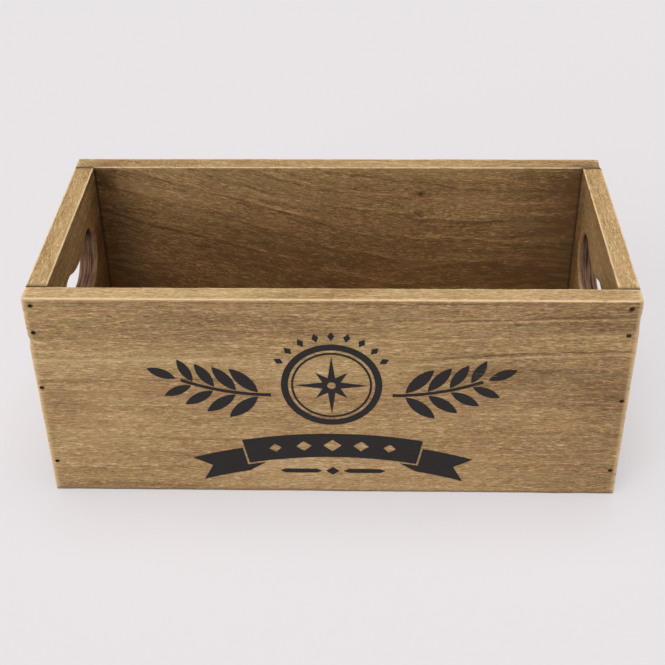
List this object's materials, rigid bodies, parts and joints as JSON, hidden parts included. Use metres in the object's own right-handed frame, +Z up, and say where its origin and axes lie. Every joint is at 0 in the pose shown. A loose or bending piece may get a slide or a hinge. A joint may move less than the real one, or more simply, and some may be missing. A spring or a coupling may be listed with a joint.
{
  "type": "wooden crate",
  "caption": "Open-topped rectangular storage crate of nailed solid boards, with a shaped hand hole in each end and a worn printed emblem on the front",
  "frame": {"origin": "middle of the underside, on the surface that the crate stands on", "axes": "+X along the front from left to right, +Y from front to back, +Z up"},
  "size_m": [0.34, 0.1652, 0.141],
  "materials": {
    "side_wood": "stained and waxed softwood board, sanded edges, fine horizontal grain",
    "end_wood": "stained and waxed softwood board, dark stain in the hand hole's cut edge",
    "bottom_wood": "stained softwood board, plain sawn",
    "nail_steel": "darkened steel brad, dull",
    "black_ink": "near-black printing ink, matt, with the grain showing through"
  },
  "bodies": {
    "root": {"front_board": "side_wood", "back_board": "side_wood", "left_end_board": "end_wood", "right_end_board": "end_wood", "bottom_board": "bottom_wood", "front_left_nails": "nail_steel", "front_right_nails": "nail_steel", "back_left_nails": "nail_steel", "back_right_nails": "nail_steel", "bottom_left_nails": "nail_steel", "bottom_right_nails": "nail_steel", "front_emblem": "black_ink"}
  },
  "joints": []
}
